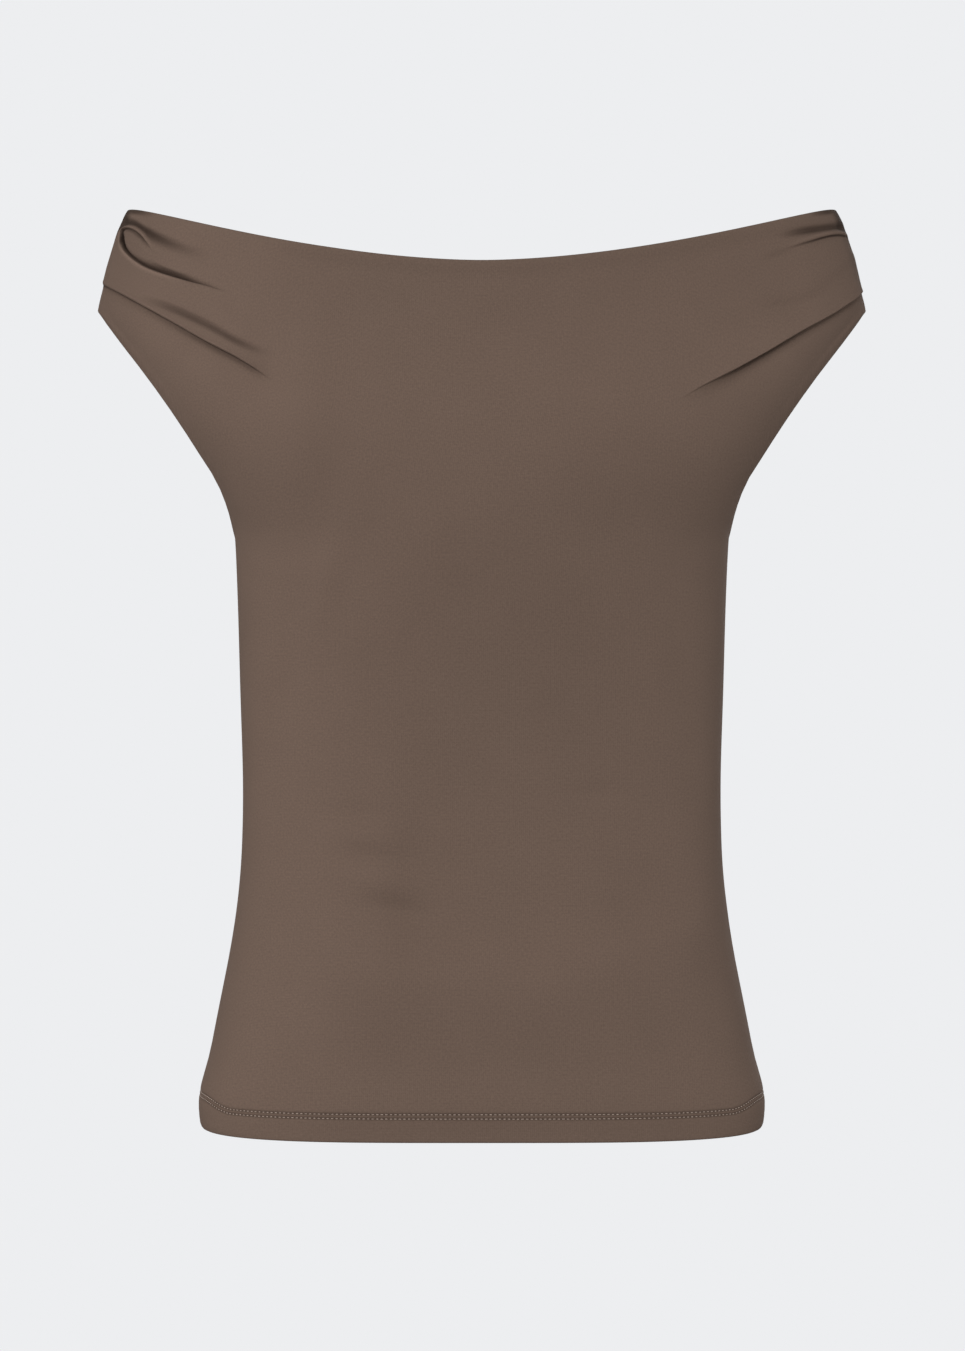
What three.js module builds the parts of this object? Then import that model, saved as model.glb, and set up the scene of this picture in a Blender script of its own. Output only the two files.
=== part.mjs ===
// An off-shoulder top in fine stretch jersey, filled out as when it is worn: a close body that
// flares a little over the hips, and a wide neckline that ends in two short shoulder caps.
// It is cut as a front and a back, each in one piece with half of each cap. The caps' outer seams
// gather the cloth into a few uneven pleats.
//
// Millimetres, +Z up. The front faces -Y and the viewer's right is +X. The origin is the middle of
// the top opening, where the wearer holds the top up: on the plane of the side seams, level with the
// middle of the back neckline.

import * as THREE from 'three';

// Heights above the hem.
const HOLD_HEIGHT = 500;
const UNDERARM_HEIGHT = 337;
const ARMHOLE_CORNER_HEIGHT = 470.5;
const NECK_CORNER_HEIGHT = 528.3;
const NECK_MIDDLE_HEIGHT = { front: 489, back: 500 };

// The armhole edges bow away from the plane of the side seams, which opens the way for the arm.
const ARMHOLE_BOW = { front: 54, back: 50 };

// The neckline, and each row of the cloth below it, sweeps up to its ends with this power.
const NECK_SWEEP = 1.8;

// The jersey is drawn as a stiff wall. The turned-up hem is one layer more.
const WALL = 1.6;
const HEM_WALL = 2.4;
const SEAM_GAP = 0.3;

const CLOTH_COLOUR = 0x6c5b51;

// The outer edge of both panels, seen from the front: side seam, armhole edge, cap seam.
const EDGE_LINE = [
  { height: 0, halfWidth: 162.0 },
  { height: 4, halfWidth: 163.2 },
  { height: 12, halfWidth: 161.9 },
  { height: 28, halfWidth: 159.3 },
  { height: 45, halfWidth: 156.1 },
  { height: 60, halfWidth: 153.4 },
  { height: 115, halfWidth: 143.1 },
  { height: 150, halfWidth: 139.4 },
  { height: 190, halfWidth: 138.5 },
  { height: 250, halfWidth: 140.2 },
  { height: 300, halfWidth: 141.6 },
  { height: 337, halfWidth: 143.4 },
  { height: 348, halfWidth: 144.8 },
  { height: 359, halfWidth: 147.6 },
  { height: 370, halfWidth: 152.2 },
  { height: 381, halfWidth: 159.0 },
  { height: 403, halfWidth: 173.1 },
  { height: 426, halfWidth: 189.4 },
  { height: 450, halfWidth: 208.1 },
  { height: 465.5, halfWidth: 219.8 },
  { height: 470.5, halfWidth: 223.1 },
  { height: 477.5, halfWidth: 221.6 },
  { height: 484, halfWidth: 220.2 },
  { height: 491.5, halfWidth: 219.0 },
  { height: 500, halfWidth: 216.8 },
  { height: 509.6, halfWidth: 213.9 },
  { height: 519, halfWidth: 210.9 },
  { height: 524, halfWidth: 208.6 },
  { height: 528.3, halfWidth: 206.0 },
];

// The level sections of the body: how far the front and the back stand off the side seams' plane, and
// how square the section is. A squareness of 2 is an ellipse.
const SECTIONS = [
  { height: 0, front: 106, back: 107, squareness: 3.7 },
  { height: 60, front: 101, back: 102, squareness: 3.1 },
  { height: 120, front: 91, back: 87, squareness: 2.9 },
  { height: 190, front: 84, back: 73, squareness: 2.8 },
  { height: 250, front: 90, back: 75, squareness: 2.7 },
  { height: 310, front: 104, back: 85, squareness: 2.5 },
  { height: 370, front: 116, back: 94, squareness: 2.25 },
  { height: 430, front: 110, back: 98, squareness: 2.15 },
  { height: 500, front: 90, back: 94, squareness: 2.2 },
];

// The form runs from section to section without a break: each is averaged over this far up and down.
const SECTION_BLEND = 32;
const BLEND_SAMPLES = 9;

// Pleats: the cloth above the crease swells and laps down over the cloth below it. The path runs from
// the cap seam inwards, as x and height above the hem. The lift falls off over `above` on the upper
// side and over `below` on the lower side, and fades out over the last `fade` of the path.
const PLEATS = {
  front: [
    { lift: 4.2, above: 15, below: 5, fade: 70, path: [[-219, 486], [-193, 469], [-153, 444], [-110, 416]] },
    { lift: 3.0, above: 10, below: 4, fade: 42, path: [[-209, 507], [-197, 493], [-173, 482], [-142, 472]] },
    { lift: 2.0, above: 7, below: 4, fade: 14, path: [[-207, 517], [-195, 510], [-183, 497]] },
    { lift: 4.0, above: 15, below: 5, fade: 75, path: [[220, 480], [200, 464], [159, 438], [111, 411]] },
    { lift: 2.2, above: 9, below: 5, fade: 40, path: [[213, 490], [195, 477], [178, 470], [158, 466]] },
    { lift: 2.2, above: 7, below: 4, fade: 30, path: [[212, 513], [200, 510], [180, 502], [160, 495]] },
  ],
  back: [
    { lift: 3.8, above: 15, below: 5, fade: 75, path: [[-220, 481], [-196, 464], [-152, 438], [-106, 414]] },
    { lift: 2.4, above: 9, below: 5, fade: 40, path: [[-211, 505], [-192, 492], [-168, 484], [-146, 478]] },
    { lift: 4.0, above: 15, below: 5, fade: 70, path: [[219, 484], [192, 466], [150, 442], [112, 419]] },
    { lift: 2.6, above: 9, below: 5, fade: 40, path: [[210, 508], [194, 495], [170, 486], [144, 480]] },
  ],
};

// The cap seam presses the pleats down to this share of their lift, and lets go of them this far in.
const LIFT_AT_SEAM = 0.2;
const SEAM_HOLD = 14;

// Soft troughs between the pleats, sunk by `depth` and `width` to each side of the path.
const TROUGHS = {
  front: [
    { depth: 1.6, width: 7, fade: 40, path: [[-212, 477], [-196, 474], [-153, 455], [-120, 438]] },
    { depth: 2.0, width: 7, fade: 30, path: [[-212, 523], [-194, 513], [-172, 502], [-150, 494]] },
    { depth: 1.6, width: 7, fade: 30, path: [[213, 519], [196, 514], [180, 510], [166, 506]] },
    { depth: 1.2, width: 9, fade: 45, path: [[214, 498], [192, 488], [168, 480], [146, 474]] },
    { depth: 1.2, width: 10, fade: 24, path: [[-96, 166], [-80, 164], [-66, 166], [-48, 172]] },
    { depth: 1.2, width: 11, fade: 26, path: [[-104, 186], [-84, 178], [-64, 178], [-40, 184]] },
  ],
  back: [
    { depth: 1.8, width: 8, fade: 34, path: [[-212, 520], [-192, 511], [-170, 502], [-150, 496]] },
    { depth: 1.8, width: 8, fade: 34, path: [[212, 521], [194, 513], [172, 505], [150, 499]] },
    { depth: 1.6, width: 12, fade: 40, path: [[-112, 196], [-84, 190], [-52, 192], [-22, 200]] },
    { depth: 1.6, width: 12, fade: 40, path: [[118, 204], [90, 196], [60, 196], [26, 206]] },
  ],
};

// Each panel is a grid of rows that lie across it and columns that run from hem to neckline. The rows
// are closer together where the pleats are. A row's share is its part of the way up the panel, and the
// hem's two sides, the underarm and the armhole's outer corner lie on rows of their own.
const UNDERARM_SHARE = 0.60;
const CORNER_SHARE = 0.84;
const COLUMNS = { front: 50, back: 40 };
const HEM_SHARE = 0.03;
const HEM_STEP_SHARE = 0.033;
const ROW_BANDS = {
  front: [
    { to: HEM_SHARE, rows: 1 },
    { to: HEM_STEP_SHARE, rows: 1 },
    { to: UNDERARM_SHARE, rows: 11 },
    { to: CORNER_SHARE, rows: 10 },
    { to: 1, rows: 13 },
  ],
  back: [
    { to: HEM_SHARE, rows: 1 },
    { to: HEM_STEP_SHARE, rows: 1 },
    { to: UNDERARM_SHARE, rows: 8 },
    { to: CORNER_SHARE, rows: 7 },
    { to: 1, rows: 9 },
  ],
};

// A smooth curve through a table's rows that never overshoots them: a monotone cubic. It holds its end
// values beyond the table.
function smoothTable(xs, ys) {
  const steps = xs.slice(1).map((x, i) => x - xs[i]);
  const slopes = steps.map((step, i) => (ys[i + 1] - ys[i]) / step);
  const tangents = xs.map((_, i) => {
    if (i === 0) return slopes[0];
    if (i === xs.length - 1) return slopes[i - 1];
    if (slopes[i - 1] * slopes[i] <= 0) return 0;
    const before = 2 * steps[i] + steps[i - 1];
    const after = steps[i] + 2 * steps[i - 1];
    return (before + after) / (before / slopes[i - 1] + after / slopes[i]);
  });
  return (at) => {
    const x = THREE.MathUtils.clamp(at, xs[0], xs[xs.length - 1]);
    let i = 0;
    while (i < steps.length - 1 && x > xs[i + 1]) i += 1;
    const t = (x - xs[i]) / steps[i];
    const rest = 1 - t;
    return ys[i] * (1 + 2 * t) * rest * rest
      + tangents[i] * steps[i] * t * rest * rest
      + ys[i + 1] * t * t * (3 - 2 * t)
      + tangents[i + 1] * steps[i] * t * t * (t - 1);
  };
}

function column(rows, name) {
  return smoothTable(rows.map((row) => row.height), rows.map((row) => row[name]));
}

function blended(curve) {
  return (height) => {
    let sum = 0;
    for (let i = 0; i < BLEND_SAMPLES; i += 1) {
      sum += curve(height + SECTION_BLEND * (2 * i / (BLEND_SAMPLES - 1) - 1));
    }
    return sum / BLEND_SAMPLES;
  };
}

const halfWidthAt = column(EDGE_LINE, 'halfWidth');
const squarenessAt = blended(column(SECTIONS, 'squareness'));
const depthAt = { front: blended(column(SECTIONS, 'front')), back: blended(column(SECTIONS, 'back')) };
const outwards = { front: -1, back: 1 };

// The smooth form of a panel, before it is pleated. `across` runs from -1 to 1 between the outer edges,
// and `up` from 0 at the hem to 1 at the neckline. Each row is part of a superellipse that meets the
// outer edge, and its height sweeps from the panel's middle to that edge.
function formPoint(side, across, up) {
  const alongArmhole = THREE.MathUtils.clamp((up - UNDERARM_SHARE) / (CORNER_SHARE - UNDERARM_SHARE), 0, 1);
  let edgeHeight = UNDERARM_HEIGHT * up / UNDERARM_SHARE;
  if (up > CORNER_SHARE) {
    const alongCap = (up - CORNER_SHARE) / (1 - CORNER_SHARE);
    edgeHeight = THREE.MathUtils.lerp(ARMHOLE_CORNER_HEIGHT, NECK_CORNER_HEIGHT, alongCap);
  } else if (up > UNDERARM_SHARE) {
    const eased = (1 - Math.cos(Math.PI * alongArmhole)) / 2;
    edgeHeight = THREE.MathUtils.lerp(UNDERARM_HEIGHT, ARMHOLE_CORNER_HEIGHT, eased);
  }
  const middleHeight = NECK_MIDDLE_HEIGHT[side] * up;
  const halfWidth = halfWidthAt(edgeHeight);
  const depth = depthAt[side](middleHeight);
  const power = squarenessAt(middleHeight);
  const edgeShare = ARMHOLE_BOW[side] * Math.sin(Math.PI * alongArmhole) / depth;
  const fullHalfWidth = halfWidth / (1 - edgeShare ** power) ** (1 / power);
  const angle = across * Math.atan2(halfWidth / fullHalfWidth, edgeShare);
  const sine = Math.sin(angle);
  const cosine = Math.cos(angle);
  const radius = (Math.abs(sine) ** power + Math.abs(cosine) ** power) ** (-1 / power);
  const x = fullHalfWidth * sine * radius;
  const y = outwards[side] * depth * cosine * radius;
  const height = middleHeight + (edgeHeight - middleHeight) * Math.abs(x / halfWidth) ** NECK_SWEEP;
  return new THREE.Vector3(x, y, height - HOLD_HEIGHT);
}

// The outward normal of the smooth form, from points a little way along the row and the column.
function formNormal(side, across, up) {
  const reach = 0.004;
  const left = formPoint(side, Math.max(across - reach, -1), up);
  const right = formPoint(side, Math.min(across + reach, 1), up);
  const below = formPoint(side, across, Math.max(up - reach, 0));
  const above = formPoint(side, across, Math.min(up + reach, 1));
  const normal = right.sub(left).cross(above.sub(below)).normalize();
  return side === 'front' ? normal : normal.negate();
}

// How far a point lies above a fold's path, square to it, and how strong the fold still is there.
function besideFold({ fade, path }) {
  const inwards = [...path].sort((a, b) => a[0] - b[0]);
  const lineAt = smoothTable(inwards.map(([x]) => x), inwards.map(([, height]) => height));
  const innerEnd = path[path.length - 1][0];
  const towardsSeam = Math.sign(path[0][0] - innerEnd);
  return (x, height) => {
    const slope = (lineAt(x + 1) - lineAt(x - 1)) / 2;
    const offset = (height - lineAt(x)) / Math.hypot(1, slope);
    const strength = THREE.MathUtils.smoothstep((x - innerEnd) * towardsSeam, 0, fade);
    return { offset, strength };
  };
}

// A pleat's lift: highest at the crease, easing off upwards like a bell, and dropping steeply below it.
// The seam holds the pleat flatter at its outer end.
function pleatLift(pleat) {
  const beside = besideFold(pleat);
  const outerEnd = Math.abs(pleat.path[0][0]);
  return (x, height) => {
    const { offset, strength } = beside(x, height);
    const freed = THREE.MathUtils.smoothstep(outerEnd - Math.abs(x), 0, SEAM_HOLD);
    const lift = strength * pleat.lift * THREE.MathUtils.lerp(LIFT_AT_SEAM, 1, freed);
    if (offset >= 0) return lift * Math.exp(-((offset / pleat.above) ** 2));
    return lift * (1 - THREE.MathUtils.smoothstep(-offset, 0, pleat.below));
  };
}

// A trough's sink: a bell across the path. One that lies in the middle of a panel fades at both ends.
function troughSink(trough) {
  const beside = besideFold(trough);
  const outerEnd = trough.path[0][0];
  const inCap = Math.abs(outerEnd) > halfWidthAt(UNDERARM_HEIGHT);
  return (x, height) => {
    const { offset, strength } = beside(x, height);
    const fromOuterEnd = (outerEnd - x) * Math.sign(outerEnd);
    const outerStrength = inCap ? 1 : THREE.MathUtils.smoothstep(fromOuterEnd, 0, trough.fade);
    return strength * outerStrength * trough.depth * Math.exp(-((offset / trough.width) ** 2));
  };
}

const foldsOf = Object.fromEntries(['front', 'back'].map((side) => {
  const lifts = PLEATS[side].map(pleatLift);
  const sinks = TROUGHS[side].map(troughSink);
  return [side, (x, height) => {
    const lifted = lifts.reduce((sum, lift) => sum + lift(x, height), 0);
    const sunk = sinks.reduce((sum, sink) => sum + sink(x, height), 0);
    return lifted - sunk;
  }];
}));

function rowShares(side) {
  const shares = [0];
  for (const { to, rows } of ROW_BANDS[side]) {
    const from = shares[shares.length - 1];
    for (let row = 1; row <= rows; row += 1) shares.push(THREE.MathUtils.lerp(from, to, row / rows));
  }
  return shares;
}

// A panel's closed wall: the pleated outer face, the inner face one wall behind it, and strips that
// join them round the four edges. At the seams both faces stop half a seam gap from the other panel.
function panelGeometry(side) {
  const shares = rowShares(side);
  const columns = COLUMNS[side];
  const positions = [];
  for (const behind of [0, 1]) {
    for (const up of shares) {
      for (let i = 0; i <= columns; i += 1) {
        const across = -1 + 2 * i / columns;
        const point = formPoint(side, across, up);
        const lift = foldsOf[side](point.x, point.z + HOLD_HEIGHT);
        const wall = up <= HEM_SHARE ? HEM_WALL : WALL;
        point.addScaledVector(formNormal(side, across, up), lift - behind * wall);
        const offPlane = Math.max(outwards[side] * point.y, SEAM_GAP / 2);
        positions.push(point.x, outwards[side] * offPlane, point.z);
      }
    }
  }

  const across = columns + 1;
  const sheet = across * shares.length;
  const faces = [];
  const quad = (a, b, c, d) => {
    if (side === 'front') faces.push(a, b, c, a, c, d);
    else faces.push(c, b, a, d, c, a);
  };
  for (let row = 0; row < shares.length - 1; row += 1) {
    for (let i = 0; i < columns; i += 1) {
      const a = row * across + i;
      quad(a, a + 1, a + 1 + across, a + across);
      quad(sheet + a + across, sheet + a + 1 + across, sheet + a + 1, sheet + a);
    }
  }
  const edgeStrip = (a, b) => quad(sheet + a, sheet + b, b, a);
  const top = across * (shares.length - 1);
  for (let i = 0; i < columns; i += 1) {
    edgeStrip(i, i + 1);
    edgeStrip(top + i + 1, top + i);
  }
  for (let row = 0; row < shares.length - 1; row += 1) {
    edgeStrip((row + 1) * across, row * across);
    edgeStrip(row * across + columns, (row + 1) * across + columns);
  }

  const geometry = new THREE.BufferGeometry();
  geometry.setAttribute('position', new THREE.Float32BufferAttribute(positions, 3));
  geometry.setIndex(faces);
  geometry.computeVertexNormals();
  return geometry;
}

const jersey = { color: CLOTH_COLOUR, roughness: 0.9, metalness: 0 };

function panel(side) {
  const mesh = new THREE.Mesh(panelGeometry(side), new THREE.MeshStandardMaterial(jersey));
  mesh.name = `${side}_panel`;
  return mesh;
}

const group = new THREE.Group();
group.name = 'off_shoulder_top';
group.add(panel('front'), panel('back'));

export default group;
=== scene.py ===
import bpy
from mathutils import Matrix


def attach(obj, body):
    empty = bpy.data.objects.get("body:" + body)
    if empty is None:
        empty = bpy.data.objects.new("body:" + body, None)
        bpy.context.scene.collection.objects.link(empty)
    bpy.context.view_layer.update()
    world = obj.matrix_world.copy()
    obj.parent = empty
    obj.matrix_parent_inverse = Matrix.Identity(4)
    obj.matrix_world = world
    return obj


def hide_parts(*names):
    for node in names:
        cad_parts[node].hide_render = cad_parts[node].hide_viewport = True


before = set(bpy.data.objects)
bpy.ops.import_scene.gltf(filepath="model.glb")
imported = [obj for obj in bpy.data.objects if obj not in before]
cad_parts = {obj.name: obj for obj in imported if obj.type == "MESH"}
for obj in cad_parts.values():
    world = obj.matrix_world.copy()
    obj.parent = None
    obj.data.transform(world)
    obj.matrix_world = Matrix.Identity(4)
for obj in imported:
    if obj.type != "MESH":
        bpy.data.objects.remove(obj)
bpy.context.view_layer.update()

# An off-shoulder top in fine stretch jersey, filled out as when it is worn. The front and the back
# are each one thin shell of cloth with rounded edges, worked out as functions of two shares:
# `across` runs from -1 to 1 between a panel's outer edges, and `up` from 0 at the hem to 1 at the
# neckline. The pleats at the caps are laid along lines given as x and height.
# Sizes are in millimetres until a shape is put into its mesh. Heights are above the hem.

from types import SimpleNamespace

import bpy
import numpy as np
from mathutils import Vector

MM = 0.001
HOLD_HEIGHT = 500
UNDERARM_HEIGHT = 337
ARMHOLE_CORNER_HEIGHT = 470.5
NECK_CORNER_HEIGHT = 528.3
NECK_MIDDLE_HEIGHT = {"front": 489, "back": 500}
ARMHOLE_BOW = {"front": 54, "back": 50}
NECK_SWEEP = 1.8
UNDERARM_SHARE = 0.60
CORNER_SHARE = 0.84
OUTWARDS = {"front": -1, "back": 1}

# The cloth's edges are turned in, so it is drawn as thick as two layers of jersey.
CLOTH = 1.5
HEM_CLOTH = 2.2
HEM_DEPTH = 17.5
SEAM_CLEARANCE = 0.02

# The outer edge of both panels, seen from the front: side seam, armhole edge, cap seam.
EDGE_LINE = np.array([
    # height, half width
    (0, 162.0), (4, 163.2), (12, 161.9), (28, 159.3), (45, 156.1), (60, 153.4), (115, 143.1),
    (150, 139.4), (190, 138.5), (250, 140.2), (300, 141.6), (337, 143.4), (348, 144.8),
    (359, 147.6), (370, 152.2), (381, 159.0), (403, 173.1), (426, 189.4), (450, 208.1),
    (465.5, 219.8), (470.5, 223.1), (477.5, 221.6), (484, 220.2), (491.5, 219.0), (500, 216.8),
    (509.6, 213.9), (519, 210.9), (524, 208.6), (528.3, 206.0),
])

# Level sections of the body. A squareness of 2 is an ellipse.
SECTIONS = np.array([
    # height, depth of the front, depth of the back, squareness
    (0, 106, 107, 3.7), (60, 101, 102, 3.1), (120, 91, 87, 2.9), (190, 84, 73, 2.8),
    (250, 90, 75, 2.7), (310, 104, 85, 2.5), (370, 116, 94, 2.25), (430, 110, 98, 2.15),
    (500, 90, 94, 2.2),
])
DEPTH_COLUMN = {"front": 1, "back": 2}
SQUARENESS_COLUMN = 3
SECTION_BLEND = 32      # mm up and down
EDGE_BLEND = 0.034      # share up and down
EDGE_BLEND_START = 0.15     # share in from the edge by which the averaging is in full
BLEND_SAMPLES = 9


def smooth_table(xs, ys, at):
    """A monotone cubic through the table's rows, which never overshoots them and holds its ends."""
    xs = np.asarray(xs, float)
    ys = np.asarray(ys, float)
    step = np.diff(xs)
    slope = np.diff(ys) / step
    tangent = np.zeros_like(ys)
    tangent[0], tangent[-1] = slope[0], slope[-1]
    same_way = slope[:-1] * slope[1:] > 0
    before = 2 * step[1:] + step[:-1]
    after = step[1:] + 2 * step[:-1]
    with np.errstate(divide="ignore", invalid="ignore"):
        mean = (before + after) / (before / slope[:-1] + after / slope[1:])
    tangent[1:-1] = np.where(same_way, mean, 0)
    x = np.clip(at, xs[0], xs[-1])
    i = np.clip(np.searchsorted(xs, x, side="right") - 1, 0, len(step) - 1)
    t = (x - xs[i]) / step[i]
    rest = 1 - t
    return (ys[i] * (1 + 2 * t) * rest**2 + tangent[i] * step[i] * t * rest**2
            + ys[i + 1] * t**2 * (3 - 2 * t) + tangent[i + 1] * step[i] * t**2 * (t - 1))


def section_at(column, height):
    """A column of the sections, averaged over a stretch up and down so that the form runs on."""
    heights, values = SECTIONS[:, 0], SECTIONS[:, column]
    shifts = np.linspace(-SECTION_BLEND, SECTION_BLEND, BLEND_SAMPLES)
    return np.mean([smooth_table(heights, values, height + shift) for shift in shifts], axis=0)


def smoothstep(low, high, value):
    """0 below low, 1 above high, and an S-shaped cubic between them. Low may be the larger."""
    t = np.clip((value - low) / (high - low), 0, 1)
    return t * t * (3 - 2 * t)


def bell(value, width):
    """A Gaussian: 1 in the middle and 1/e at that width to each side."""
    return np.exp(-(value / width) ** 2)


def outer_edge(side, up):
    """The height and the half width of a panel's outer edge at a share up, and how far it bows out
    of the seams' plane along the armhole, by half a sine."""
    along_armhole = np.clip((up - UNDERARM_SHARE) / (CORNER_SHARE - UNDERARM_SHARE), 0, 1)
    eased = (1 - np.cos(np.pi * along_armhole)) / 2
    height = np.where(
        up < UNDERARM_SHARE,
        UNDERARM_HEIGHT * up / UNDERARM_SHARE,
        UNDERARM_HEIGHT + (ARMHOLE_CORNER_HEIGHT - UNDERARM_HEIGHT) * eased,
    )
    along_cap = np.clip((up - CORNER_SHARE) / (1 - CORNER_SHARE), 0, 1)
    height = height + (NECK_CORNER_HEIGHT - ARMHOLE_CORNER_HEIGHT) * along_cap
    half_width = smooth_table(EDGE_LINE[:, 0], EDGE_LINE[:, 1], height)
    return np.stack([height, half_width, ARMHOLE_BOW[side] * np.sin(np.pi * along_armhole)])


def form(side, across, up):
    """A panel before it is pleated. Each row is part of a superellipse, x and y being a direction's
    sine and cosine scaled to the section, and its height sweeps up to the outer edge as a power of
    the share of the half width. Away from the edge itself, what the row takes from the edge is
    averaged over a stretch up and down, so that the edge's corners leave no crease in the cloth."""
    across, up = np.broadcast_arrays(np.asarray(across, float), np.asarray(up, float))
    stretch = np.minimum(EDGE_BLEND * smoothstep(0, EDGE_BLEND_START, 1 - np.abs(across)),
                         np.minimum(up, 1 - up))
    shifts = np.linspace(-1, 1, BLEND_SAMPLES)
    edges = [outer_edge(side, up + stretch * shift) for shift in shifts]
    edge_height, half_width, bow = np.mean(edges, axis=0)
    middle_height = NECK_MIDDLE_HEIGHT[side] * up
    depth = section_at(DEPTH_COLUMN[side], middle_height)
    power = section_at(SQUARENESS_COLUMN, middle_height)
    edge_share = bow / depth
    full_half_width = half_width / (1 - edge_share**power) ** (1 / power)
    angle = across * np.arctan2(half_width / full_half_width, edge_share)
    sine, cosine = np.sin(angle), np.cos(angle)
    radius = (np.abs(sine) ** power + np.abs(cosine) ** power) ** (-1 / power)
    x = full_half_width * sine * radius
    y = OUTWARDS[side] * depth * cosine * radius
    sweep = np.abs(x / half_width) ** NECK_SWEEP
    height = middle_height + (edge_height - middle_height) * sweep
    return np.stack([x, y, height - HOLD_HEIGHT], axis=-1)


def unit(vectors):
    return vectors / np.linalg.norm(vectors, axis=-1, keepdims=True)


NEARBY = 0.002      # share


def surroundings(side, across, up):
    """The form at each point and a little way off to its four sides, with its outward normal, its
    unit vectors across and up, how many millimetres one share measures each way, and how far the
    point lies from the seam, the hem and the top."""
    right, left = np.minimum(across + NEARBY, 1), np.maximum(across - NEARBY, -1)
    above, below = np.minimum(up + NEARBY, 1), np.maximum(up - NEARBY, 0)
    at = SimpleNamespace(
        here=form(side, across, up),
        right=form(side, right, up), left=form(side, left, up),
        above=form(side, across, above), below=form(side, across, below),
    )
    at.x, at.height = at.here[..., 0], at.here[..., 2] + HOLD_HEIGHT
    step_across, step_up = at.right - at.left, at.above - at.below
    at.wide, at.tall = np.linalg.norm(step_across, axis=-1), np.linalg.norm(step_up, axis=-1)
    at.mm_across, at.mm_up = at.wide / (right - left), at.tall / (above - below)
    at.sideways, at.upwards = unit(step_across), unit(step_up)
    at.normal = unit(np.cross(step_across, step_up)) * -OUTWARDS[side]
    at.from_seam = (1 - np.abs(across)) * at.mm_across
    at.from_hem, at.from_top = up * at.mm_up, (1 - up) * at.mm_up
    return at


# Paths of folds, as x and height in millimetres, from the viewer's left to the right. Two folds
# that meet the two caps at like places share one path, which only guides the rows of the mesh
# between them.
PATHS = {
    "front": {
        # The long pleat that laps down over the armhole, one at each cap.
        "lap": [
            (-222, 486.8), (-216, 483.2), (-193, 469.0), (-173, 456.8), (-153, 444.7),
            (-134, 434.2), (-117, 422.4), (-108, 414.0), (-60, 392), (0, 385), (60, 389),
            (106, 409.4), (114, 413.8), (121, 418.0), (140, 428.3), (159, 439.4), (179, 451.9),
            (199.5, 464.4), (218.4, 479.0), (222, 482.5)],
        # The lower lip of the tuck at the left cap, and the thin crease at the right one.
        "lower_lip": [
            (-209.2, 511), (-208, 507), (-205.2, 501.7), (-197.2, 493.5), (-188.8, 488.0),
            (-173.6, 481.8), (-164, 478.6), (-154, 475.8), (-144, 472.6), (-100, 465), (0, 455),
            (100, 470), (162, 496.0), (171, 499.3), (180, 502.9), (187.6, 505.8), (194, 508.4),
            (200.3, 510.6), (206, 511.9), (212.3, 512.6)],
        # The upper lip of the tuck at the left cap.
        "upper_lip": [
            (-209.2, 514), (-208.4, 515.6), (-206, 516.4), (-201.5, 514.8), (-194.7, 509.7),
            (-190, 504.2), (-187, 500.4), (-173, 491), (-150, 484), (-100, 473), (0, 464),
            (100, 479), (162, 502), (180, 509), (200, 517), (212, 519)],
    },
    "back": {
        "lap": [
            (-222, 481), (-196, 464), (-152, 438), (-106, 414), (0, 390), (106, 412),
            (112, 419), (150, 442), (192, 466), (222, 484)],
        "upper": [
            (-213, 505), (-192, 492), (-168, 484), (-146, 478), (0, 462), (144, 480),
            (170, 486), (194, 495), (212, 508)],
    },
}

# Pleats that lap down: their path, from where to where they run and ease in, how far the lip
# stands out and over what width above and below it that eases off, how deep the hollow under it
# is, and how far the lip slides down, with the middle and the width of that slide. `soft` is how
# dark the shade painted below the lip is, `deeper` how much more so at an x and over a width,
# `spread` how much further down that reaches and between which x it grows, `paler` how much of it
# is lost at the seam, and `light` how much lighter the lip just above its crease is painted.
LAPS = {
    "front": [
        dict(path="lap", outer=-230, inner=-115, fade_in=15, lift=2.8, above=11, below=1.3,
             hollow=0.9, slide=0.9, slide_place=(0.4, 1.3), soft=0.14, deeper=(0.28, -148, 28),
             paler=0.2),
        dict(path="lap", outer=230, inner=106, fade_in=42, lift=3.0, above=12, below=1.3,
             hollow=1.1, slide=0.9, slide_place=(0.4, 1.3), soft=0.14, deeper=(0.42, 146, 40),
             spread=(6, 100, 130), paler=0.2),
        dict(path="lower_lip", outer=230, inner=166, fade_in=30, lift=1.4, above=5.0, below=0.9,
             hollow=0.5, slide=0.45, slide_place=(0.3, 0.9), soft=0.12, light=0.25),
    ],
    "back": [
        dict(path="lap", outer=-230, inner=-108, fade_in=60, lift=2.4, above=12, below=1.5,
             hollow=0.72, slide=0.8, slide_place=(0.4, 1.4), soft=0.30),
        dict(path="lap", outer=230, inner=110, fade_in=60, lift=2.7, above=12, below=1.5,
             hollow=0.81, slide=0.8, slide_place=(0.4, 1.4), soft=0.30),
        dict(path="upper", outer=-230, inner=-144, fade_in=40, lift=1.7, above=7, below=1.2,
             hollow=0.68, slide=0.5, slide_place=(0.3, 1.1), soft=0.24),
        dict(path="upper", outer=230, inner=140, fade_in=42, lift=1.4, above=7, below=1.2,
             hollow=0.56, slide=0.5, slide_place=(0.3, 1.1), soft=0.24),
    ],
}
LIP_RIDGE = 0.18            # share of the lift
LIP_RIDGE_PLACE = 1.1       # mm above the path, and its width too
HOLLOW_DROP = 0.6           # mm from the foot of the lip's fall to the middle of the hollow
HOLLOW_WIDTH = 3.4
LIP_LINE, LIP_LINE_WIDTH = 0.78, 0.8        # how dark and wide the painted shade line under a lip is
LIP_SHADE_REACH = 6.0
LIP_LIGHT_PLACE = 1.2       # mm above the path, and its width too
PALER_WIDTH = 20
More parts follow.
